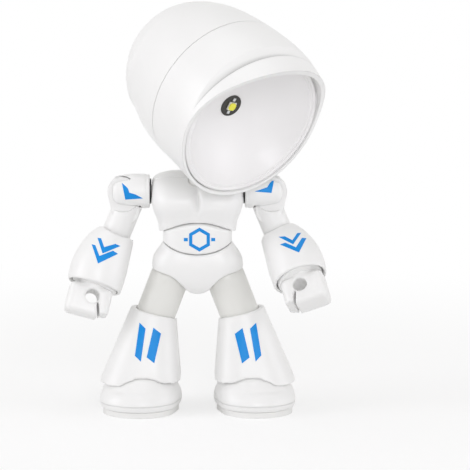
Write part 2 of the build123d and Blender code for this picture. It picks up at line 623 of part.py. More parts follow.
def shoulder_cap():
    """Barrel turned about the shoulder's axis, slotted for the arm's neck to swing outward."""
    axis_line = Pos(0, shoulder_y, shoulder_z)
    outline = [Line((cap_inner, 0), (cap_inner, cap_radius - 0.45)),
               ThreePointArc((cap_inner, cap_radius - 0.45), (cap_inner + 0.1, cap_radius - 0.15),
                             (cap_inner + 0.4, cap_radius - 0.05)),
               Line((cap_inner + 0.4, cap_radius - 0.05), (cap_inner + 0.65, cap_radius - 0.2)),
               Line((cap_inner + 0.65, cap_radius - 0.2), (cap_inner + 0.9, cap_radius - 0.02)),
               ThreePointArc((cap_inner + 0.9, cap_radius - 0.02), (14.6, cap_radius + 0.05),
                             (cap_outer - 1.5, cap_radius - 0.35)),
               ThreePointArc((cap_outer - 1.5, cap_radius - 0.35), (cap_outer - 0.4, cap_radius - 1.0),
                             (cap_outer, cap_radius - 2.1)),
               Line((cap_outer, cap_radius - 2.1), (cap_outer, 0)),
               Line((cap_outer, 0), (cap_inner, 0))]
    barrel = axis_line * revolve(make_face(outline), Axis.X, 360)
    slots = [arm_raised(arm_neck(moving_gap), angle)
             for angle in steps(-arm_lower - 0.5, arm_raise + 1, 6)]
    slots += [arm_raised(arm_tube(moving_gap), angle) for angle in (-arm_lower - 0.5, 0)]
    pin = rod(arm_pin_radius + seat_fit, (knuckle_x, shoulder_y - arm_pin_half - 0.05, shoulder_z),
              (knuckle_x, shoulder_y + arm_pin_half + 0.05, shoulder_z))
    peg = rod(shoulder_peg_radius + seat_fit, (0, shoulder_y, shoulder_z),
              (shoulder_peg_outer + 0.05, shoulder_y, shoulder_z))
    return without(barrel, slots) - pin - peg


def shoulder_peg():
    """Peg from the cap into the chest, with the disc that keeps it there."""
    foot_in = shoulder_peg_end - shoulder_foot_thick
    return (rod(shoulder_peg_radius, (foot_in + 0.1, shoulder_y, shoulder_z),
                (shoulder_peg_outer, shoulder_y, shoulder_z))
            + rod(shoulder_foot_radius, (foot_in, shoulder_y, shoulder_z),
                  (shoulder_peg_end, shoulder_y, shoulder_z)))


def upper_arm():
    """Flat neck on the shoulder pin, round tube and the elbow's ball."""
    pin = rod(arm_pin_radius + pin_fit, (knuckle_x, shoulder_y - 9, shoulder_z),
              (knuckle_x, shoulder_y + 9, shoulder_z))
    start, finish = elbow_pin_line()
    elbow_bore = rod(elbow_pin_radius + pin_fit, start, finish)
    ball = Pos(elbow_x, shoulder_y, elbow_z) * Sphere(arm_radius)
    return arm_neck() + arm_tube() + ball - pin - elbow_bore


def arm_pin():
    """Pin across the cap that the arm swings outward on."""
    return rod(arm_pin_radius, (knuckle_x, shoulder_y - arm_pin_half, shoulder_z),
               (knuckle_x, shoulder_y + arm_pin_half, shoulder_z))


def forearm_frame(bend, outward):
    """Frame of a left forearm that hangs from the elbow, bent forward and leaning outward."""
    return lean(elbow_x, shoulder_y, elbow_z, outward, bend)


def elbow_pin_line():
    """Ends of the elbow pin, square to the upper arm."""
    across = Vector(cos(radians(arm_tilt)), 0, sin(radians(arm_tilt))) * elbow_pin_half
    centre = Vector(elbow_x, shoulder_y, elbow_z)
    return tuple(centre - across), tuple(centre + across)


def gauntlet(bend, outward):
    """Swelling forearm shell with a socket for the elbow's ball and a cuff round the hand's neck."""
    sections = [Pos(side, 0, -drop) * Rot(0, -tilt, 0) * Circle(radius)
                for drop, side, tilt, radius in gauntlet_rings]
    end_drop = gauntlet_rings[-1][0]
    floor = end_drop - cuff_depth
    wrist = Pos(wrist_side, 0, 0)
    foot_low = -floor + wrist_foot_in
    hollows = [rod(cuff_radius, (0, 0, -floor), (0, 0, -end_drop - 5)),
               rod(wrist_peg_radius + pin_fit, (0, 0, foot_low), (0, 0, -floor - 1)),
               Pos(0, 0, foot_low) * disc_room(wrist_foot_radius, wrist_foot_thick, 0)]
    body = forearm_frame(bend, outward) * without(loft(sections), [wrist * hollow for hollow in hollows])
    start, finish = elbow_pin_line()
    hinge = Axis((elbow_x, shoulder_y, elbow_z), tuple(Vector(*finish) - Vector(*start)))
    # the upper arm as the forearm sees it while it bends from straight to its most
    arms = [arm_tube(moving_gap).rotate(hinge, angle - bend) for angle in steps(0, elbow_most, 4)]
    ball = Pos(elbow_x, shoulder_y, elbow_z) * Sphere(arm_radius + moving_gap + 0.06)
    return without(body, [ball] + arms) - rod(elbow_pin_radius + seat_fit, start, finish)


def elbow_pin():
    """Pin across the gauntlet's socket."""
    start, finish = elbow_pin_line()
    return rod(elbow_pin_radius, start, finish)


def hand_frame():
    """Frame of the grip hole below the wrist, its Y along the hole."""
    return Pos(-0.5, 0, -wrist_drop) * Rot(0, hand_tilt_back, 0)


def hand(bend, outward):
    """Blocky hand with a round grip hole, a thumb parted from the fingers, and a turning peg."""
    wrist = forearm_frame(bend, outward) * Pos(wrist_side, 0, 0)
    floor = gauntlet_rings[-1][0] - cuff_depth
    block = (Pos((hand_outer - hand_inner) / 2, 0, (hand_above - hand_below) / 2)
             * Box(hand_outer + hand_inner, hand_depth, hand_above + hand_below))
    block = fillet(block.edges().filter_by(Axis.Z), hand_edge)
    block = fillet(block.edges().filter_by(Axis.Y), hand_corner)
    below_thumb = (Pos(-finger_inner, 0, -thumb_below)
                   * Box(10, 20, 20, align=(Align.MAX, Align.CENTER, Align.MAX)))
    hole = rod(grip_radius, (0, -10, 0), (0, 10, 0))
    slot = (Pos(-finger_inner + 0.6, 0, -hand_below / 2 - 0.9) * Rot(0, grip_slot_lean, 0)
            * Box(grip_slot, 20, hand_below))
    block = hand_frame() * without(block, [below_thumb, hole, slot])
    inside = rod(cuff_radius - 0.25, (0, 0, 0), (0, 0, -gauntlet_rings[-1][0] - 0.9))
    lower = (Pos(0, 0, -gauntlet_rings[-1][0] - 0.9)
             * Box(40, 40, 40, align=(Align.CENTER, Align.CENTER, Align.MAX)))
    foot_low = -floor + wrist_foot_in
    peg = (rod(wrist_boss_radius, (0, 0, -floor - moving_gap), (0, 0, -wrist_drop + 2.0))
           + rod(wrist_peg_radius, (0, 0, foot_low + 0.1), (0, 0, -floor - 1))
           + rod(wrist_foot_radius, (0, 0, foot_low), (0, 0, foot_low + wrist_foot_thick)))
    return wrist * ((block & inside) + (block & lower) + peg)


# ---------------------------------------------------------------- legs (left side)
hip_centre = (hip_x, 0, hip_z)
knee_x = hip_x + thigh_length * sin(radians(thigh_tilt))
knee_z = hip_z - thigh_length * cos(radians(thigh_tilt))
ball_drop = sqrt(ankle_ball_radius ** 2 - (boot_low_depth / 2 - 0.4) ** 2)
ankle_ball_z = boot_front_low_z - ball_drop


def thigh():
    """Bar with round ends, bored for the hip axle and the knee pin."""
    axle = rod(hip_axle_radius + pin_fit, (0, 0, hip_z), (hip_axle_half + 0.15, 0, hip_z))
    bar = (thigh_bar(thigh_radius, thigh_length) + Pos(*hip_centre) * Sphere(thigh_radius)
           + Pos(knee_x, 0, knee_z) * Sphere(thigh_radius))
    return bar - axle - knee_bar(knee_pin_radius + pin_fit, 9)


def knee_bar(radius, half):
    """Bar on the knee's axis, square to the boot's lean."""
    across = Vector(cos(radians(boot_tilt)), 0, sin(radians(boot_tilt))) * half
    knee = Vector(knee_x, 0, knee_z)
    return rod(radius, tuple(knee - across), tuple(knee + across))


def boot():
    """Shin that flares into a wide boot, hollowed below to ride on the foot's ball."""
    top = Pos(boot_top_x, 0, boot_top_z) * Rot(0, -boot_tilt, 0)
    low = Pos(boot_low_x, 0, boot_low_z) * Rot(0, -3, 0)
    body = loft([low * RectangleRounded(boot_low_width, boot_low_depth, boot_low_corner),
                 top * RectangleRounded(boot_top_width, boot_top_width, boot_top_corner)])
    body = body - Pos(ankle_x, 0, ankle_ball_z) * Sphere(ankle_ball_radius)
    hinge = Axis((knee_x, 0, knee_z), (cos(radians(boot_tilt)), 0, sin(radians(boot_tilt))))
    # the thigh as the boot sees it while the knee bends
    room = [thigh_bar(thigh_radius + moving_gap, thigh_length).rotate(hinge, -angle)
            for angle in steps(0, knee_range + 1, 4)]
    room.append(Pos(knee_x, 0, knee_z) * Sphere(thigh_radius + moving_gap + 0.06))
    screw = rod(ankle_screw_radius + seat_fit, (ankle_x, 0, 0), (ankle_x, 0, ankle_screw_top + 0.1))
    return without(body, room) - knee_bar(knee_pin_radius + seat_fit, knee_pin_half + 0.05) - screw


def knee_pin():
    """Pin across the boot's socket."""
    return knee_bar(knee_pin_radius, knee_pin_half)


foot_frame = Pos(ankle_x, 0, 0) * Rot(0, 0, foot_splay)


def foot():
    """Rounded foot, its instep part of the ball that the boot rides on."""
    body = loft([Pos(0, -ahead, z) * RectangleRounded(width, length, corner)
                 for z, width, length, corner, ahead in foot_rings])
    body = foot_frame * body
    ball = Pos(ankle_x, 0, ankle_ball_z) * Sphere(ankle_ball_radius - moving_gap)
    boot_zone = rod(boot_sweep_radius, (ankle_x, 0, boot_low_z - 0.9), (ankle_x, 0, 16))
    body = body - (boot_zone - ball)
    head_room = foot_rings[0][0] + ankle_head_thick + 0.3
    screw = (rod(ankle_screw_radius + pin_fit, (ankle_x, 0, 0), (ankle_x, 0, 16))
             + rod(ankle_head_radius + 0.15, (ankle_x, 0, 0), (ankle_x, 0, head_room)))
    return body - screw


def sole():
    """Flat pad under the foot."""
    outline = foot_frame * Pos(0, -sole_ahead, 0) * RectangleRounded(
        sole_width - 2 * sole_inset, sole_length - 2 * sole_inset, sole_corner - sole_inset)
    return extrude(outline, sole_thick)


def ankle_screw():
    """Screw from under the foot into the boot; the foot turns on it."""
    seat = foot_rings[0][0] + 0.15
    return (rod(ankle_screw_radius, (ankle_x, 0, seat + 0.1), (ankle_x, 0, ankle_screw_top))
            + rod(ankle_head_radius, (ankle_x, 0, seat), (ankle_x, 0, seat + ankle_head_thick)))


for make in (shoulder_cap, shoulder_peg, upper_arm, arm_pin, elbow_pin,
             thigh, boot, knee_pin, foot, sole, ankle_screw):
    piece = make()
    save(f"{make.__name__}_left", piece)
    save(f"{make.__name__}_right", right_of(piece))

for name, make in [("forearm_gauntlet", gauntlet), ("hand", hand)]:
    save(f"{name}_left", make(left_bend, left_outward))
    save(f"{name}_right", right_of(make(right_bend, right_outward)))
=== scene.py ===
"""Robot shaped desk lamp: finishes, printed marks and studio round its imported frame.

Lengths are metres in the frame's own axes: the figure faces -Y and stands on z = 0.
"""
import json
from math import cos, exp, radians, sin

import bmesh
import bpy
from bpy.props import FloatProperty, FloatVectorProperty, IntProperty, PointerProperty
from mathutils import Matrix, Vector
from mathutils.bvhtree import BVHTree

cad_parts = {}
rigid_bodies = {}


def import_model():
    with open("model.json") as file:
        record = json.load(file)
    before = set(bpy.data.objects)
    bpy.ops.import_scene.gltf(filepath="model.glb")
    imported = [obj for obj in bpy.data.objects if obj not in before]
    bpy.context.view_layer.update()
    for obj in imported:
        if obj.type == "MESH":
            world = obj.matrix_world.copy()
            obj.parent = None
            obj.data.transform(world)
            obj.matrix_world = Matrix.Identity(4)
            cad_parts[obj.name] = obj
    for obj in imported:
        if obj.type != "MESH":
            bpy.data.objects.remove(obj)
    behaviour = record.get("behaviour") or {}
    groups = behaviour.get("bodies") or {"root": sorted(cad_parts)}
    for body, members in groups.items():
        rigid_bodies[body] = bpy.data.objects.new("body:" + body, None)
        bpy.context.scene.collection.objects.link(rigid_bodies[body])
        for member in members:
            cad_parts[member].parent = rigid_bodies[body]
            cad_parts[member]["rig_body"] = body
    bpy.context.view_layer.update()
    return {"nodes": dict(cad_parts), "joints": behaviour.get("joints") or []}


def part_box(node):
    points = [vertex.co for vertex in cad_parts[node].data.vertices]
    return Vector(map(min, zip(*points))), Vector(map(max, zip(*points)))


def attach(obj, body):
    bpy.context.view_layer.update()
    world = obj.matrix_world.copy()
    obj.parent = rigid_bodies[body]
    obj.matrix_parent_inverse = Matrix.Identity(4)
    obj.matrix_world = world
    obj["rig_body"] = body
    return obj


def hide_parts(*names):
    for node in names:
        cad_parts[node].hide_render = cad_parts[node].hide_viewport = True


bl_info = {
    "name": "Robot Desk Lamp",
    "version": (1, 0, 0),
    "blender": (4, 5, 0),
    "location": "View3D > Sidebar > Robot Lamp",
    "description": "Gives a small robot shaped desk lamp its finishes, printed marks and studio",
    "category": "Object",
}

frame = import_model()
MM = 0.001


def linear(colour):
    """A colour written as sRGB hex, as linear red, green and blue."""
    parts = [int(colour[i:i + 2], 16) / 255 for i in (1, 3, 5)]
    return tuple(p / 12.92 if p <= 0.04045 else ((p + 0.055) / 1.055) ** 2.4 for p in parts)


# ---------------------------------------------------------------- settings
class RobotLampFinishSettings(bpy.types.PropertyGroup):
    """Colours and surfaces of the lamp's pieces."""

    shell_colour: FloatVectorProperty(
        name="Shell", description="Colour of the moulded white shells",
        subtype="COLOR", size=3, min=0, max=1, default=linear("#F2F2F1"))
    # painted shade: the limbs are the shells' white drawn darker, as the thighs stand in shade
    limb_shaded_colour: FloatVectorProperty(
        name="Limbs", description="Colour of the thighs, the neck and the pegs",
        subtype="COLOR", size=3, min=0, max=1, default=linear("#E8E8E4"))
    bowl_colour: FloatVectorProperty(
        name="Reflector", description="Colour of the bowl round the light",
        subtype="COLOR", size=3, min=0, max=1, default=linear("#F1F0F0"))
    phosphor_colour: FloatVectorProperty(
        name="Light window", description="Colour of the phosphor over the chip",
        subtype="COLOR", size=3, min=0, max=1, default=linear("#F2EC52"))
    edge_round: FloatProperty(
        name="Edge rounding", description="Radius that the mould leaves on the shells' edges",
        unit="LENGTH", subtype="DISTANCE", min=0, default=0.3 * MM)
    soft_grid: FloatProperty(
        name="Rounding grid", description="Mesh grid that the rounded shells are made on",
        unit="LENGTH", subtype="DISTANCE", min=0.15 * MM, default=0.22 * MM)
    soft_passes: IntProperty(
        name="Rounding passes", description="How many times that mesh is relaxed", min=0, default=24)
    pec_swell: FloatProperty(
        name="Chest swell", description="How far each half of the breast swells forward",
        unit="LENGTH", subtype="DISTANCE", min=0, default=0.6 * MM)
    pec_groove: FloatProperty(
        name="Breast groove", description="Extra depth of the groove down the breast",
        unit="LENGTH", subtype="DISTANCE", min=0, default=0.35 * MM)
    plug_radius: FloatProperty(
        name="Wrist plug", description="Radius of the hand's disc inside the cuff",
        unit="LENGTH", subtype="DISTANCE", min=1 * MM, default=5.3 * MM)
    # painted shade: black discs fill the gaps between the chest and the shoulder caps
    gap_shade_radius: FloatProperty(
        name="Shoulder gap shade", description="Radius of the black discs painted as shade in the shoulder gaps",
        unit="LENGTH", subtype="DISTANCE", min=1.7 * MM, default=2.9 * MM)
    mouth_turn: FloatProperty(
        name="Mouth turn", description="How far the lamp's mouth is turned to the figure's left",
        unit="ROTATION", subtype="ANGLE", default=radians(36))
    mouth_dip: FloatProperty(
        name="Mouth dip", description="How far the lamp's mouth is turned down",
        unit="ROTATION", subtype="ANGLE", default=radians(26.8))
    bead_radius: FloatProperty(
        name="Mouth bead", description="Radius of the bead between reflector and hood",
        unit="LENGTH", subtype="DISTANCE", min=0.1 * MM, default=0.42 * MM)
    # painted shade: how much shade colour is laid into the hood's folds
    crease: FloatProperty(
        name="Crease shade", description="Greatest share of dark paint in the hood's folds",
        min=0, max=1, default=0.8)
    grain: FloatProperty(
        name="Grain", description="Distance between the high spots of the shells' spark eroded grain",
        unit="LENGTH", subtype="DISTANCE", min=0.05 * MM, default=0.45 * MM)


class RobotLampMarkSettings(bpy.types.PropertyGroup):
    """The blue marks printed on the shells."""

    ink_colour: FloatVectorProperty(
        name="Ink", description="Colour of the printed marks",
        subtype="COLOR", size=3, min=0, max=1, default=linear("#008CDE"))
    film: FloatProperty(
        name="Film", description="How far the ink stands above the plastic",
        unit="LENGTH", subtype="DISTANCE", min=0.005 * MM, default=0.03 * MM)
    bedding: FloatProperty(
        name="Bedding", description="How far the ink's underside lies in the plastic",
        unit="LENGTH", subtype="DISTANCE", min=0, default=0.03 * MM)
    mesh_step: FloatProperty(
        name="Mesh step", description="Longest edge in a mark, so that it follows the shell",
        unit="LENGTH", subtype="DISTANCE", min=0.1 * MM, default=0.4 * MM)
    emblem_radius: FloatProperty(
        name="Emblem radius", description="Radius to the corners of the belly's hexagon",
        unit="LENGTH", subtype="DISTANCE", min=0.5 * MM, default=2.75 * MM)
    emblem_stroke: FloatProperty(
        name="Emblem stroke", description="Width of the hexagon's and side bars' strokes",
        unit="LENGTH", subtype="DISTANCE", min=0.1 * MM, default=0.75 * MM)


class RobotLampStudioSettings(bpy.types.PropertyGroup):
    """Camera, lamps and floor."""

    aim: FloatVectorProperty(
        name="Aim", description="Point on the figure's axis that the front view is measured from",
        subtype="XYZ", unit="LENGTH", size=3, default=(0, 9.3 * MM, 46.6 * MM))
    distance: FloatProperty(
        name="Distance", description="Camera's distance from that point",
        unit="LENGTH", subtype="DISTANCE", default=600 * MM)
    elevation: FloatProperty(
        name="Elevation", description="Camera's height above the horizon",
        unit="ROTATION", subtype="ANGLE", default=radians(8))
    view_height: FloatProperty(
        name="View height", description="Height of the picture in the plane of the figure",
        unit="LENGTH", subtype="DISTANCE", default=107.63 * MM)
    framing: FloatVectorProperty(
        name="Framing", description="Middle of the picture, across and up from the aim",
        unit="LENGTH", size=2, default=(8.59 * MM, -5.95 * MM))
    floor_size: FloatProperty(
        name="Floor", description="Side of the square floor",
        unit="LENGTH", subtype="DISTANCE", default=4.0)
    surround: FloatProperty(
        name="Surround", description="Strength of the even light from all round", min=0, default=0.48)
    lamp_level: FloatProperty(
        name="Lamp level", description="Share of the studio lamps' full power", min=0, default=1.0)


# ---------------------------------------------------------------- node helper
def add(tree, kind, inputs=None, **settings):
    """Adds one node with its settings; an input is a value or the socket that feeds it."""
    node = tree.nodes.new(kind)
    for name, value in settings.items():
        setattr(node, name, value)
    for name, value in (inputs or {}).items():
        if isinstance(value, bpy.types.NodeSocket):
            tree.links.new(value, node.inputs[name])
        else:
            node.inputs[name].default_value = value
    return node


def start_material(name):
    """An empty node material with its output, and the object's own coordinates."""
    material = bpy.data.materials.new(name)
    material.use_nodes = True
    tree = material.node_tree
    tree.nodes.clear()
    output = add(tree, "ShaderNodeOutputMaterial")
    place = add(tree, "ShaderNodeTexCoord").outputs["Object"]
    return material, tree, output, place


def end_material(tree, output, shader):
    """Feeds a shader to the material's output."""
    tree.links.new(shader.outputs[0], output.inputs["Surface"])


def shade(colour, share):
    """A linear colour made lighter or darker by a share, with its alpha."""
    return tuple(min(1.0, c * share) for c in colour) + (1.0,)


def new_piece(name, bm, finish=None, smooth=False, sharp=None):
    """An object in the scene made from bm; smooth faces still meet in edges above the angle sharp."""
    mesh = bpy.data.meshes.new(name)
    bm.to_mesh(mesh)
    bm.free()
    if smooth:
        for polygon in mesh.polygons:
            polygon.use_smooth = True
    if sharp:
        mesh.set_sharp_from_angle(angle=sharp)
    if finish:
        mesh.materials.append(finish)
    piece = bpy.data.objects.new(name, mesh)
    bpy.context.scene.collection.objects.link(piece)
    return piece


# ---------------------------------------------------------------- finishes
def fold_shade(tree, place, colour, paint, crease):
    """Painted shade: paint darkened in a moulding's folds, which hold less light than the open faces
    round them.

    crease is the greatest share of painted shade, then the mouth's centre and the direction it faces,
    then the distance from that axis within which the bright wall of the mouth is left as it is.
    """
    share, centre, ahead, clear = crease
    fold_width, dark = 1.6 * MM, 0.2
    # what the node gives deep in a fold, and where a face begins to count as open
    deep, open_face = 0.5, 0.97
    hollow = add(tree, "ShaderNodeAmbientOcclusion", {"Distance": fold_width}, samples=12,
                 only_local=True)
    strength = add(tree, "ShaderNodeMapRange", {"Value": hollow.outputs["AO"], "From Min": deep,
                                                "From Max": open_face, "To Min": share,
                                                "To Max": 0.0})
    arm = add(tree, "ShaderNodeVectorMath", {0: place, 1: centre}, operation="SUBTRACT")
    lever = add(tree, "ShaderNodeVectorMath", {0: arm.outputs[0], 1: ahead},
                operation="CROSS_PRODUCT")
    reach = add(tree, "ShaderNodeVectorMath", {0: lever.outputs[0]}, operation="LENGTH")
    outside = add(tree, "ShaderNodeMath", {0: reach.outputs["Value"], 1: clear},
                  operation="GREATER_THAN")
    strength = add(tree, "ShaderNodeMath", {0: strength.outputs[0], 1: outside.outputs[0]},
                   operation="MULTIPLY")
    return add(tree, "ShaderNodeMix", {"Factor": strength.outputs[0], "A": paint,
                                       "B": shade(colour, dark)},
               data_type="RGBA").outputs["Result"]


def scored_line(tree, place, colour, paint, normal, line):
    """Paint and normal with a scored line, given as its height and width, round a level piece; its
    groove is darkened as painted shade.
    """
    height, width = line
    # the groove's depth, then the share and the darkness of the painted shade laid in it
    line_depth, groove_shade_share, dark = 0.12 * MM, 0.35, 0.55
    level = add(tree, "ShaderNodeSeparateXYZ", {"Vector": place}).outputs["Z"]
    away = add(tree, "ShaderNodeMath", {0: level, 1: height}, operation="SUBTRACT")
    away = add(tree, "ShaderNodeMath", {0: away.outputs[0]}, operation="ABSOLUTE")
    groove = add(tree, "ShaderNodeMapRange", {"Value": away.outputs[0], "From Min": 0.0,
                                              "From Max": width, "To Min": 0.0, "To Max": 1.0},
                 interpolation_type="SMOOTHSTEP")
    normal = add(tree, "ShaderNodeBump", {"Height": groove.outputs[0], "Distance": line_depth,
                                          "Strength": 0.8, "Normal": normal}).outputs["Normal"]
    # painted shade: the groove's paint goes darker towards its middle
    shaded_groove = add(tree, "ShaderNodeMapRange", {"Value": groove.outputs[0], "To Min": groove_shade_share,
                                            "To Max": 0.0})
    paint = add(tree, "ShaderNodeMix", {"Factor": shaded_groove.outputs[0], "A": paint,
                                        "B": shade(colour, dark)},
                data_type="RGBA").outputs["Result"]
    return paint, normal


def moulded_plastic(name, colour, rough, edge, grain, depth, clouding=0.02, crease=None, line=None):
    """Injection moulded plastic.

    A polished tool leaves a soft gloss, a trace of spark grain, faint flow clouds in the colour and
    rounded edges. crease and line, if given, are what fold_shade and scored_line take; both lay painted
    shade into the colour.
    """
    material, tree, output, place = start_material(name)
    # flow clouds about 9 mm across, as the melt cools unevenly
    clouds = add(tree, "ShaderNodeTexNoise", {"Vector": place, "Scale": 1 / (9 * MM), "Detail": 3.0,
                                              "Roughness": 0.45})
    tint = add(tree, "ShaderNodeMix", {"Factor": clouds.outputs["Fac"], "A": shade(colour, 1 - clouding),
                                       "B": shade(colour, 1 + clouding)}, data_type="RGBA")
    # gloss wanders over 4 mm patches where the tool was polished by hand
    patches = add(tree, "ShaderNodeTexNoise", {"Vector": place, "Scale": 1 / (4 * MM), "Detail": 2.0})
    gloss = add(tree, "ShaderNodeMapRange", {"Value": patches.outputs["Fac"], "From Min": 0.3,
                                             "From Max": 0.7, "To Min": rough * 0.85,
                                             "To Max": rough * 1.2})
    rounded = add(tree, "ShaderNodeBevel", {"Radius": edge}, samples=6)
    # real grain is about 0.05 mm; drawn coarser so that it shows at all
    pits = add(tree, "ShaderNodeTexNoise", {"Vector": place, "Scale": 1 / grain, "Detail": 2.0})
    bump = add(tree, "ShaderNodeBump", {"Height": pits.outputs["Fac"], "Distance": depth,
                                        "Strength": 1.0, "Normal": rounded.outputs["Normal"]})
    normal = bump.outputs["Normal"]
    paint = tint.outputs["Result"]
    if crease:
        paint = fold_shade(tree, place, colour, paint, crease)
    if line:
        paint, normal = scored_line(tree, place, colour, paint, normal, line)
    body = add(tree, "ShaderNodeBsdfPrincipled", {
        "Base Color": paint, "Roughness": gloss.outputs["Result"], "IOR": 1.53, "Normal": normal})
    end_material(tree, output, body)
    return material


def plated_metal(name, colour, rough, lay):
    """Bright plating over turned or stamped metal, with fine tool marks and uneven tarnish."""
    material, tree, output, place = start_material(name)
    stretched = add(tree, "ShaderNodeMapping", {"Vector": place, "Scale": lay})
    # turning marks, 0.12 mm apart, drawn long across the piece
    marks = add(tree, "ShaderNodeTexNoise", {"Vector": stretched.outputs[0], "Scale": 1 / (0.12 * MM),
                                             "Detail": 2.0})
    tarnish = add(tree, "ShaderNodeTexNoise", {"Vector": place, "Scale": 1 / (1.5 * MM), "Detail": 4.0})
    tint = add(tree, "ShaderNodeMix", {"Factor": tarnish.outputs["Fac"], "A": shade(colour, 0.8),
                                       "B": shade(colour, 1.12)}, data_type="RGBA")
    gloss = add(tree, "ShaderNodeMapRange", {"Value": tarnish.outputs["Fac"], "To Min": rough * 0.7,
                                             "To Max": rough * 1.4})
    rounded = add(tree, "ShaderNodeBevel", {"Radius": 0.08 * MM}, samples=4)
    bump = add(tree, "ShaderNodeBump", {"Height": marks.outputs["Fac"], "Distance": 0.01 * MM,
                                        "Normal": rounded.outputs["Normal"]})
    body = add(tree, "ShaderNodeBsdfPrincipled", {
        "Base Color": tint.outputs["Result"], "Metallic": 1.0, "Roughness": gloss.outputs["Result"],
        "Normal": bump.outputs["Normal"]})
    end_material(tree, output, body)
    return material


def solder_mask():
    """Black solder mask, sprayed and cured over a glass epoxy board: glossy, with a faint weave."""
    material, tree, output, place = start_material("solder_mask_black")
    # the glass cloth under the mask repeats every 0.4 mm
    weave = add(tree, "ShaderNodeTexVoronoi", {"Vector": place, "Scale": 1 / (0.4 * MM)})
    tint = add(tree, "ShaderNodeMix", {"Factor": weave.outputs["Distance"],
                                       "A": linear("#1B1A16") + (1,), "B": linear("#33302A") + (1,)},
               data_type="RGBA")
    bump = add(tree, "ShaderNodeBump", {"Height": weave.outputs["Distance"], "Distance": 0.02 * MM})
    body = add(tree, "ShaderNodeBsdfPrincipled", {
        "Base Color": tint.outputs["Result"], "Roughness": 0.3, "IOR": 1.55,
        "Normal": bump.outputs["Normal"]})
    end_material(tree, output, body)
    return material


def phosphor_gel(colour):
    """Silicone gel filled with phosphor powder, dispensed over the chip: dense, grainy yellow."""
    material, tree, output, place = start_material("phosphor_gel")
    powder = add(tree, "ShaderNodeTexNoise", {"Vector": place, "Scale": 1 / (0.15 * MM), "Detail": 3.0})
    tint = add(tree, "ShaderNodeMix", {"Factor": powder.outputs["Fac"], "A": shade(colour, 0.86),
                                       "B": shade(colour, 1.1)}, data_type="RGBA")
    bump = add(tree, "ShaderNodeBump", {"Height": powder.outputs["Fac"], "Distance": 0.02 * MM})
    body = add(tree, "ShaderNodeBsdfPrincipled", {
        "Base Color": tint.outputs["Result"], "Roughness": 0.35, "IOR": 1.41,
        "Normal": bump.outputs["Normal"]})
    end_material(tree, output, body)
    return material


def printed_ink(colour):
    """Pad printed two part ink: an even satin film with a little pooling and pinhole texture."""
    material, tree, output, place = start_material("pad_printed_ink")
    pooling = add(tree, "ShaderNodeTexNoise", {"Vector": place, "Scale": 1 / (1.8 * MM), "Detail": 3.0})
    tint = add(tree, "ShaderNodeMix", {"Factor": pooling.outputs["Fac"], "A": shade(colour, 0.93),
                                       "B": shade(colour, 1.07)}, data_type="RGBA")
    pinholes = add(tree, "ShaderNodeTexNoise", {"Vector": place, "Scale": 1 / (0.25 * MM)})
    bump = add(tree, "ShaderNodeBump", {"Height": pinholes.outputs["Fac"], "Distance": 0.006 * MM})
    body = add(tree, "ShaderNodeBsdfPrincipled", {
        "Base Color": tint.outputs["Result"], "Roughness": 0.42, "IOR": 1.38,
        "Normal": bump.outputs["Normal"]})
    end_material(tree, output, body)
    return material


# ---------------------------------------------------------------- rounding the shells
def softened(node, grid, passes, finish):
    """A piece that stands for a CAD node, its edges rounded as a mould's radius rounds them."""
    source = frame["nodes"][node]
    bm = bmesh.new()
    bm.from_mesh(source.data)
    # the node's triangles are loose: corners this near to each other are one
    bmesh.ops.remove_doubles(bm, verts=bm.verts[:], dist=0.0001 * MM)
    piece = new_piece(node + "_soft", bm)
    remesh = piece.modifiers.new("even_grid", "REMESH")
    remesh.mode, remesh.voxel_size, remesh.use_smooth_shade = "VOXEL", grid, True
    relax = piece.modifiers.new("relaxed", "SMOOTH")
    relax.factor, relax.iterations = 0.5, passes
    graph = bpy.context.evaluated_depsgraph_get()
    final = bpy.data.meshes.new_from_object(piece.evaluated_get(graph))
    piece.modifiers.clear()
    piece.data = final
    final.name = node + "_soft"
    final.materials.clear()
    final.materials.append(finish)
    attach(piece, source["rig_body"])
    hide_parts(node)
    return piece


def swell_chest(mesh, look):
    """Swells the two halves of the breast forward and deepens the groove between them."""
    low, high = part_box("chest_front_shell")
    half = (high.x - low.x) / 2
    # the breast's middle is a little above the shell's own
    middle_z = low.z + 0.58 * (high.z - low.z)
    # each swelling lies this far out from the middle and fades over this width and height
    swell_out, swell_width, swell_height = 0.46 * half, 0.42 * half, 4.2 * MM
    groove_width, groove_height, groove_z = 0.8 * MM, 4.0 * MM, middle_z + 0.3 * MM
    # both fade out towards the parting, this far behind the foremost point
    fade = 4.5 * MM
    for vert in mesh.vertices:
        x, y, z = vert.co
        facing = max(0.0, min(1.0, 1 - (y - low.y) / fade))
        across, up = (abs(x) - swell_out) / swell_width, (z - middle_z) / swell_height
        swell = look.pec_swell * exp(-across ** 2 - up ** 2)
        run = exp(-((z - groove_z) / groove_height) ** 4)
        groove = look.pec_groove * exp(-(x / groove_width) ** 2) * run
        vert.co.y += facing * (groove - swell)


def disc(name, radius, thick, edge, centre, axis, finish, body):
    """A round disc with rounded edges that rides on a body."""
    bm = bmesh.new()
    bmesh.ops.create_cone(bm, cap_ends=True, segments=96, radius1=radius, radius2=radius, depth=thick)
    rims = [e for e in bm.edges if len({v.co.z > 0 for v in e.verts}) == 1]
    bmesh.ops.bevel(bm, geom=rims, offset=edge, offset_type="OFFSET", segments=4, profile=0.5,
                    affect="EDGES", material=-1)
    turn = Vector((0, 0, 1)).rotation_difference(axis).to_matrix()
    bmesh.ops.rotate(bm, verts=bm.verts[:], cent=(0, 0, 0), matrix=turn)
    bmesh.ops.translate(bm, verts=bm.verts[:], vec=centre)
    piece = new_piece(name, bm, finish, smooth=True, sharp=radians(40))
    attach(piece, body)


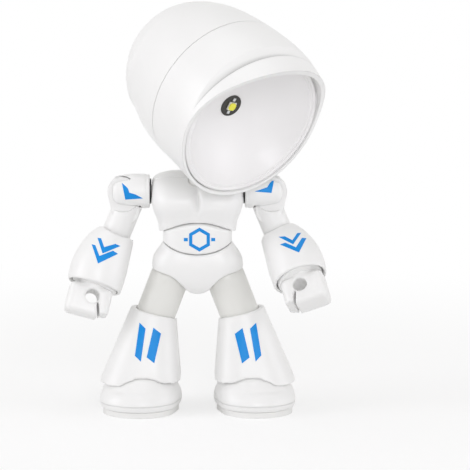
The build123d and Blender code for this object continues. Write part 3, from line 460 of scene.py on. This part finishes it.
def wrist_plug(side, finish, look):
    """The hand's round disc that closes the gauntlet's cuff from below."""
    joint = next(j for j in frame["joints"] if j["name"] == f"{side}_wrist")
    axis = Vector(joint["axis"]).normalized()
    anchor = Vector(joint["pos_m"])
    gauntlet = frame["nodes"][f"forearm_gauntlet_{side}"].data
    rim = max((v.co - anchor).dot(axis) for v in gauntlet.vertices)
    thick, edge, sunk = 2.0 * MM, 0.35 * MM, 1.6 * MM
    disc(f"wrist_plug_{side}", look.plug_radius, thick, edge, anchor + axis * (rim - sunk), axis,
         finish, f"{side}_hand")


def shoulder_gap_shade(side, finish, look):
    """A thin black disc between the chest and a shoulder's cap: painted shade for the gap between them.
    """
    cap_low, cap_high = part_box(f"shoulder_cap_{side}")
    peg_low, peg_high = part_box(f"shoulder_peg_{side}")
    out = 1 if side == "left" else -1
    thick, edge, inward = 0.28 * MM, 0.08 * MM, 0.2 * MM
    centre = (peg_low + peg_high) / 2
    centre.x = out * (min(abs(cap_low.x), abs(cap_high.x)) - inward)
    disc(f"shoulder_gap_shade_{side}", look.gap_shade_radius, thick, edge, centre, Vector((out, 0, 0)),
         finish, f"{side}_shoulder")


def mouth_place(look):
    """The mouth's centre, the direction it faces, the direction across it, and its radius."""
    turn, dip = look.mouth_turn, look.mouth_dip
    ahead = Vector((sin(turn) * cos(dip), -cos(turn) * cos(dip), -sin(dip)))
    across = Vector((cos(turn), sin(turn), 0))
    above = ahead.cross(across)
    verts = [v.co for v in frame["nodes"]["reflector_bowl"].data.vertices]
    face = max(v.dot(ahead) for v in verts)
    sides = [v.dot(across) for v in verts]
    heights = [v.dot(above) for v in verts]
    centre = (ahead * face + across * (max(sides) + min(sides)) / 2
              + above * (max(heights) + min(heights)) / 2)
    return centre, ahead, across, (max(sides) - min(sides)) / 2


def mouth_bead(finish, look):
    """The pale bead that covers the joint between the reflector's ring and the hood's lip."""
    centre, ahead, across, radius = mouth_place(look)
    bm = bmesh.new()
    section = bmesh.ops.create_circle(bm, segments=20, radius=look.bead_radius)["verts"]
    start = centre + across * (radius - look.bead_radius)
    for vert in section:
        x, y, _ = vert.co
        vert.co = start + across * x + ahead * y
    bmesh.ops.spin(bm, geom=bm.edges[:], cent=centre, axis=ahead, angle=radians(360), steps=160,
                   use_merge=True)
    bmesh.ops.recalc_face_normals(bm, faces=bm.faces[:])
    bead = new_piece("mouth_bead", bm, finish, smooth=True)
    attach(bead, "head")


# ---------------------------------------------------------------- finishing the frame's nodes
def finish_nodes(finishes, only=None):
    """Gives each CAD node whose material slot is named in finishes that finish."""
    for name, node in frame["nodes"].items():
        slot_name = frame_slots[name]
        if slot_name in finishes and (only is None or only(name)):
            node.material_slots[0].material = finishes[slot_name]


# pieces whose edges the mould rounds, with their share of the rounding grid and of the passes
SOFT_EDGED = {
    "hand": (0.75, 1.7),
    "boot": (1.0, 1.0),
    "foot": (1.0, 0.7),
    "forearm_gauntlet": (0.9, 1.0),
    "chest_front_shell": (0.9, 1.0),
    "chest_rear_shell": (0.9, 0.6),
    "pelvis_front_shell": (0.9, 0.8),
    "pelvis_rear_shell": (0.9, 0.6),
    "belly_block": (0.9, 0.5),
    "shoulder_cap": (0.7, 0.3),
}
# each CAD node's material slot, read before any finish replaces it
frame_slots = {name: node.data.materials[0].name for name, node in frame["nodes"].items()}


class ROBOT_LAMP_OT_shells(bpy.types.Operator):
    """Finishes the white shells, the limbs and the soles"""

    bl_idname = "robot_lamp.shells"
    bl_label = "Shells and Limbs"

    def execute(self, context):
        look = context.scene.robot_lamp_finish
        edge, grain = look.edge_round, look.grain
        # ABS from a polished steel tool: bright white, soft gloss
        shell = moulded_plastic("abs_white_moulded", look.shell_colour, 0.36, edge, grain, 0.001 * MM)
        # the hood is the same ABS, with painted shade in the deep fold above the mouth; its lip is left
        # unshaded
        centre, ahead, _, radius = mouth_place(look)
        lip = 0.7 * MM
        fold_shaded = moulded_plastic("abs_white_painted_fold_shade", look.shell_colour, 0.36, edge, grain, 0.001 * MM,
                                 crease=(look.crease, centre, ahead, radius + lip))
        # thighs, neck and pegs are the same ABS from a duller tool, drawn darker than the shells as
        # painted shade
        limb = moulded_plastic("abs_limb_painted_shade", look.limb_shaded_colour, 0.38, edge, grain, 0.0012 * MM)
        # the feet carry a scored welt above the sole, with painted shade in its groove
        welt_height, welt_width = 2.7 * MM, 0.2 * MM
        foot = moulded_plastic("abs_foot_moulded", look.shell_colour, 0.36, edge, grain, 0.001 * MM,
                               line=(welt_height, welt_width))
        # thermoplastic rubber, moulded matt for grip
        sole = moulded_plastic("rubber_sole_moulded", linear("#EEEEEC"), 0.55, 0.15 * MM, 0.3 * MM,
                               0.02 * MM, clouding=0.03)
        finish_nodes({"white_shell": shell, "grey_limb": limb, "sole": sole})
        finish_nodes({"white_shell": foot}, only=lambda name: name.startswith("foot"))
        finish_nodes({"white_shell": fold_shaded}, only=lambda name: name.startswith("head_hood"))
        finish_nodes({"grey_limb": shell}, only=lambda name: name.startswith(("upper_arm", "hand")))
        for stem, (grid_share, pass_share) in SOFT_EDGED.items():
            for name in (n for n in frame["nodes"] if n in (stem, stem + "_left", stem + "_right")):
                piece = softened(name, look.soft_grid * grid_share,
                                 round(look.soft_passes * pass_share),
                                 frame["nodes"][name].material_slots[0].material)
                if name == "chest_front_shell":
                    swell_chest(piece.data, look)
        # a black disc put in each shoulder gap as painted shade
        gap_shade_black = moulded_plastic("black_disc_painted_gap_shade", linear("#17181A"), 0.4, 0.05 * MM, 0.2 * MM,
                                 0.002 * MM)
        for side in ("left", "right"):
            wrist_plug(side, shell, look)
            shoulder_gap_shade(side, gap_shade_black, look)
        return {"FINISHED"}


class ROBOT_LAMP_OT_light(bpy.types.Operator):
    """Finishes the reflector bowl, the board and the light on it"""

    bl_idname = "robot_lamp.light"
    bl_label = "Reflector and Light"

    def execute(self, context):
        look = context.scene.robot_lamp_finish
        # high impact polystyrene, moulded satin so that it spreads the light
        bowl = moulded_plastic("polystyrene_reflector", look.bowl_colour, 0.38, 0.12 * MM,
                               0.5 * MM, 0.001 * MM, clouding=0.012)
        mouth_bead(bowl, look)
        finish_nodes({
            "bowl_plastic": bowl,
            "board": solder_mask(),
            # white polyphthalamide chip carrier, moulded and chalky
            "chip": moulded_plastic("chip_carrier_moulded", linear("#EFEDE4"), 0.5, 0.05 * MM,
                                    0.1 * MM, 0.005 * MM),
            "phosphor": phosphor_gel(look.phosphor_colour),
            # tin solder, reflowed and cooled: bright with a slightly orange-peeled skin
            "solder": plated_metal("solder_tinned", linear("#D9DBDC"), 0.3, (1, 1, 1))})
        return {"FINISHED"}


class ROBOT_LAMP_OT_works(bpy.types.Operator):
    """Finishes the cells, their cradle, the switch, the screws and the pins"""

    bl_idname = "robot_lamp.works"
    bl_label = "Cells, Switch and Screws"

    def execute(self, context):
        finish_nodes({
            # nickel plated steel cans, drawn and polished
            "cell": plated_metal("nickel_cell_can", linear("#C9C7C0"), 0.22, (1, 1, 0.1)),
            # nickel plated spring bronze, stamped
            "contact": plated_metal("bronze_spring_plated", linear("#CDBE93"), 0.3, (1, 0.1, 1)),
            # zinc plated steel wire and screws, turned and tumbled
            "steel": plated_metal("steel_zinc_plated", linear("#B9BDC1"), 0.3, (0.15, 1, 1)),
            # recycled ABS, moulded dull because nobody sees it
            "inner_plastic": moulded_plastic("abs_inner_moulded", linear("#DADAD6"), 0.45, 0.15 * MM,
                                             0.4 * MM, 0.008 * MM),
            # glass filled nylon switch case, moulded matt
            "switch": moulded_plastic("nylon_switch_case", linear("#26272A"), 0.5, 0.1 * MM,
                                      0.2 * MM, 0.012 * MM),
            # the push button, the same ABS as the limbs but satin
            "button": moulded_plastic("abs_button_moulded", linear("#DDE0E3"), 0.4, 0.15 * MM,
                                      0.3 * MM, 0.006 * MM)})
        return {"FINISHED"}


# ---------------------------------------------------------------- printed marks
def picture_point(x, y):
    """A place of the front view, counted in its 470 by 470 steps, as metres across and up."""
    step, aim_x, aim_y = 0.229 * MM, 197.5, 209.0
    return ((x - aim_x) * step, (aim_y - y) * step)


def camera_place(studio):
    """The camera's place and the directions across and up its picture."""
    back = Vector((0, -cos(studio.elevation), sin(studio.elevation)))
    up = Vector((0, sin(studio.elevation), cos(studio.elevation)))
    return Vector(studio.aim) + back * studio.distance, Vector((1, 0, 0)), up


def node_surface(name):
    """A search tree over one CAD node's surface."""
    mesh = frame["nodes"][name].data
    return BVHTree.FromPolygons([v.co.copy() for v in mesh.vertices],
                                [tuple(p.vertices) for p in mesh.polygons])


def printed_mark(name, outlines, node, body, material, marks, studio):
    """Lays outlines, given across and up the front view, on a node's surface as a thin film of ink."""
    surface = node_surface(node)
    eye, across, up = camera_place(studio)
    bm = bmesh.new()
    for outline in outlines:
        bm.faces.new([bm.verts.new((point[0], 0, point[1])) for point in outline])
    bmesh.ops.triangulate(bm, faces=bm.faces[:])
    long_edges = [e for e in bm.edges if e.calc_length() > marks.mesh_step]
    while long_edges:
        bmesh.ops.subdivide_edges(bm, edges=long_edges, cuts=1)
        bmesh.ops.triangulate(bm, faces=bm.faces[:])
        long_edges = [e for e in bm.edges if e.calc_length() > marks.mesh_step]
    for vert in bm.verts:
        target = Vector(studio.aim) + across * vert.co.x + up * vert.co.z
        hit, normal, _, _ = surface.ray_cast(eye, (target - eye).normalized())
        if hit is None:
            raise RuntimeError(f"{name} runs off {node}")
        vert.co = hit - normal * marks.bedding
    lifted = bmesh.ops.extrude_face_region(bm, geom=bm.faces[:])["geom"]
    for vert in (v for v in lifted if isinstance(v, bmesh.types.BMVert)):
        _, normal, _, _ = surface.find_nearest(vert.co)
        vert.co += normal * (marks.bedding + marks.film)
    bmesh.ops.recalc_face_normals(bm, faces=bm.faces[:])
    mark = new_piece(name, bm, material, smooth=True, sharp=radians(50))
    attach(mark, body)


class ROBOT_LAMP_OT_marks(bpy.types.Operator):
    """Prints the blue marks on the shoulders, forearms, belly and boots"""

    bl_idname = "robot_lamp.marks"
    bl_label = "Printed Marks"

    def execute(self, context):
        marks, studio = context.scene.robot_lamp_marks, context.scene.robot_lamp_studio
        ink = printed_ink(marks.ink_colour)

        def lay(name, outlines, node, body):
            printed_mark(name, outlines, node, body, ink, marks, studio)

        def places(*points):
            return [picture_point(x, y) for x, y in points]

        # corner flashes on the shoulders, their inner edges stepped
        lay("flash_right", [places((122, 182.4), (128, 188.0), (129.6, 192.4), (135.6, 194.2),
                                   (143, 198.2), (125.4, 199.4))],
            "shoulder_cap_right", "right_shoulder")
        lay("flash_left", [places((274.5, 178.6), (271.7, 193.0), (254.6, 191.6), (263, 189.4),
                                  (267.4, 187.2), (270, 183))],
            "shoulder_cap_left", "left_shoulder")
        # two nested chevrons on each forearm
        lay("chevrons_right", [places((97.6, 237.6), (101.2, 238.0), (104.2, 246.8), (115.4, 243.6),
                                      (120.4, 245.8), (102.6, 253.2)),
                               places((91.8, 244.0), (95.4, 244.8), (99.4, 255.6), (113.0, 250.4),
                                      (118.0, 253.6), (98.0, 263.2))],
            "forearm_gauntlet_right", "right_forearm")
        lay("chevrons_left", [places((278.6, 237.0), (285.0, 236.4), (292.4, 240.4), (297.4, 233.2),
                                     (301.2, 233.0), (293.2, 244.4)),
                              places((280.0, 244.6), (285.4, 242.8), (296.0, 247.4), (302.0, 238.0),
                                     (306.4, 238.4), (299.0, 252.6))],
            "forearm_gauntlet_left", "left_forearm")
        # two slanted stripes on each shin, their ends cut the same way
        lay("stripes_right", [places((139.4, 322.4), (145.4, 328.4), (140.6, 361.6), (134.6, 355.6)),
                              places((153.2, 327.4), (160.8, 333.4), (154.0, 363.2), (146.4, 357.2))],
            "boot_right", "right_boot")
        lay("stripes_left", [places((256.0, 322.8), (261.2, 355.4), (255.4, 361.8), (249.8, 328.8)),
                             places((242.4, 328.0), (249.4, 357.6), (241.8, 363.6), (234.6, 334.0))],
            "boot_left", "left_boot")
        # an open hexagon with a short bar each side
        middle = Vector(picture_point(199.5, 239.5))
        outer, thick = marks.emblem_radius, marks.emblem_stroke
        inner = outer - thick / cos(radians(30))
        corners = [Vector((sin(radians(60 * i)), cos(radians(60 * i)))) for i in range(7)]
        ring = [[middle + a * outer, middle + b * outer, middle + b * inner, middle + a * inner]
                for a, b in zip(corners, corners[1:])]
        start = outer * cos(radians(30)) + 0.4 * thick
        end = start + 0.9 * MM
        bars = [[middle + Vector((side * x, y)) for x, y in (
            (start, thick / 2), (end, thick / 2), (end, -thick / 2), (start, -thick / 2))]
            for side in (-1, 1)]
        lay("belly_emblem", ring + bars, "belly_block", "pelvis")
        return {"FINISHED"}


# ---------------------------------------------------------------- studio
def studio_lamp(name, size, power, place, target):
    """One soft rectangular lamp turned towards a point."""
    data = bpy.data.lights.new(name, "AREA")
    data.shape = "RECTANGLE"
    data.size, data.size_y = size
    data.energy = power
    data.color = linear("#FBFAFF")
    lamp = bpy.data.objects.new(name, data)
    lamp.location = place
    lamp.rotation_euler = (Vector(target) - Vector(place)).to_track_quat("-Z", "Y").to_euler()
    bpy.context.scene.collection.objects.link(lamp)


def seen_directly(tree):
    """One where a ray comes from the camera, a reflection or glass, else nought."""
    path = add(tree, "ShaderNodeLightPath")
    both = add(tree, "ShaderNodeMath", {0: path.outputs["Is Camera Ray"],
                                        1: path.outputs["Is Glossy Ray"]}, operation="MAXIMUM")
    return add(tree, "ShaderNodeMath", {0: both.outputs[0], 1: path.outputs["Is Transmission Ray"]},
               operation="MAXIMUM").outputs[0]


class ROBOT_LAMP_OT_stage(bpy.types.Operator):
    """Sets the pale floor, the soft lamps and the camera"""

    bl_idname = "robot_lamp.stage"
    bl_label = "Studio"

    def execute(self, context):
        scene, studio = context.scene, context.scene.robot_lamp_studio
        bm = bmesh.new()
        bmesh.ops.create_grid(bm, x_segments=1, y_segments=1, size=studio.floor_size / 2)
        # matt white paper: it shows the soft shadow and is otherwise white to the eye
        material, tree, output, place = start_material("paper_floor")
        floor = new_piece("studio_floor", bm, material)
        fibres = add(tree, "ShaderNodeTexNoise", {"Vector": place, "Scale": 1 / (2 * MM), "Detail": 2.0})
        paper = add(tree, "ShaderNodeMix", {"Factor": fibres.outputs["Fac"],
                                            "A": linear("#F2F2F2") + (1,),
                                            "B": linear("#F7F7F7") + (1,)},
                    data_type="RGBA")
        matt = add(tree, "ShaderNodeBsdfDiffuse", {"Color": paper.outputs["Result"]})
        # what the eye sees near the feet: enough lit paper for the shadow, the rest an even glow
        lit_share, glow_share = 0.42, 0.60
        half = add(tree, "ShaderNodeBsdfDiffuse", {"Color": (lit_share, lit_share, lit_share, 1)})
        glow = add(tree, "ShaderNodeEmission", {"Color": (1, 1, 1, 1), "Strength": glow_share})
        lit = add(tree, "ShaderNodeAddShader", {0: half.outputs[0], 1: glow.outputs[0]})
        # beyond the figure's shadow the paper goes over into the white of the surround
        fade_start, fade_end = 60 * MM, 220 * MM
        away = add(tree, "ShaderNodeVectorMath", {0: place}, operation="LENGTH")
        fade = add(tree, "ShaderNodeMapRange", {"Value": away.outputs["Value"],
                                                "From Min": fade_start, "From Max": fade_end},
                   interpolation_type="SMOOTHSTEP")
        plain = add(tree, "ShaderNodeEmission", {"Color": (1, 1, 1, 1), "Strength": 1.0})
        seen = add(tree, "ShaderNodeMixShader", {0: fade.outputs[0], 1: lit.outputs[0],
                                                 2: plain.outputs[0]})
        both = add(tree, "ShaderNodeMixShader", {0: seen_directly(tree), 1: matt.outputs[0],
                                                 2: seen.outputs[0]})
        end_material(tree, output, both)

        world = bpy.data.worlds.new("studio_surround")
        scene.world = world
        world.use_nodes = True
        tree = world.node_tree
        tree.nodes.clear()
        light = add(tree, "ShaderNodeBackground", {"Color": linear("#FFFEFA") + (1,),
                                                   "Strength": studio.surround})
        white = add(tree, "ShaderNodeBackground", {"Color": (1, 1, 1, 1), "Strength": 1.0})
        mixed = add(tree, "ShaderNodeMixShader", {0: seen_directly(tree), 1: light.outputs[0],
                                                  2: white.outputs[0]})
        end_material(tree, add(tree, "ShaderNodeOutputWorld"), mixed)

        # each lamp's name, width and height in metres, full power in watts, and place
        middle = (0, 0, 50 * MM)
        for name, size, power, place in (
                ("lamp_overhead", (0.7, 0.7), 1.2, (-0.05, -0.05, 0.8)),
                ("lamp_left", (0.4, 0.6), 2.0, (-0.75, -0.2, 0.3)),
                ("lamp_right", (0.4, 0.6), 1.5, (0.75, -0.2, 0.2)),
                ("lamp_front", (0.3, 0.3), 1.7, (0.1, -0.8, 0.3))):
            studio_lamp(name, size, power * studio.lamp_level, place, middle)

        eye, across, up = camera_place(studio)
        data = bpy.data.cameras.new("camera")
        data.sensor_fit, data.sensor_width = "HORIZONTAL", 36.0
        data.lens = data.sensor_width * studio.distance / studio.view_height
        data.clip_start, data.clip_end = 0.01, 20
        camera = bpy.data.objects.new("camera", data)
        target = Vector(studio.aim) + across * studio.framing[0] + up * studio.framing[1]
        camera.location = eye
        camera.rotation_euler = (target - eye).to_track_quat("-Z", "Y").to_euler()
        scene.collection.objects.link(camera)
        scene.camera = camera
        scene.view_settings.view_transform = "Standard"
        return {"FINISHED"}


# ---------------------------------------------------------------- panel
class ROBOT_LAMP_PT_panel(bpy.types.Panel):
    """Lists the lamp's settings and steps."""

    bl_label = "Robot Lamp"
    bl_idname = "ROBOT_LAMP_PT_panel"
    bl_space_type = "VIEW_3D"
    bl_region_type = "UI"
    bl_category = "Robot Lamp"

    def draw(self, context):
        for title, group, operators in (
                ("Finishes", context.scene.robot_lamp_finish, (ROBOT_LAMP_OT_shells,
                                                               ROBOT_LAMP_OT_light,
                                                               ROBOT_LAMP_OT_works)),
                ("Marks", context.scene.robot_lamp_marks, (ROBOT_LAMP_OT_marks,)),
                ("Studio", context.scene.robot_lamp_studio, (ROBOT_LAMP_OT_stage,))):
            box = self.layout.box()
            box.label(text=title)
            for name in group.bl_rna.properties.keys():
                if name not in ("rna_type", "name"):
                    box.prop(group, name)
            for operator in operators:
                box.operator(operator.bl_idname)


classes = (RobotLampFinishSettings, RobotLampMarkSettings, RobotLampStudioSettings,
           ROBOT_LAMP_OT_shells, ROBOT_LAMP_OT_light, ROBOT_LAMP_OT_works, ROBOT_LAMP_OT_marks,
           ROBOT_LAMP_OT_stage, ROBOT_LAMP_PT_panel)


def register():
    """Adds the settings, the operators and the panel."""
    for cls in classes:
        bpy.utils.register_class(cls)
    bpy.types.Scene.robot_lamp_finish = PointerProperty(type=RobotLampFinishSettings)
    bpy.types.Scene.robot_lamp_marks = PointerProperty(type=RobotLampMarkSettings)
    bpy.types.Scene.robot_lamp_studio = PointerProperty(type=RobotLampStudioSettings)


def unregister():
    """Takes them away again."""
    for name in ("robot_lamp_finish", "robot_lamp_marks", "robot_lamp_studio"):
        delattr(bpy.types.Scene, name)
    for cls in reversed(classes):
        bpy.utils.unregister_class(cls)


def main():
    """Makes the lamp and its studio."""
    register()
    bpy.ops.robot_lamp.shells()
    bpy.ops.robot_lamp.light()
    bpy.ops.robot_lamp.works()
    bpy.ops.robot_lamp.marks()
    bpy.ops.robot_lamp.stage()


if __name__ == "__main__":
    main()
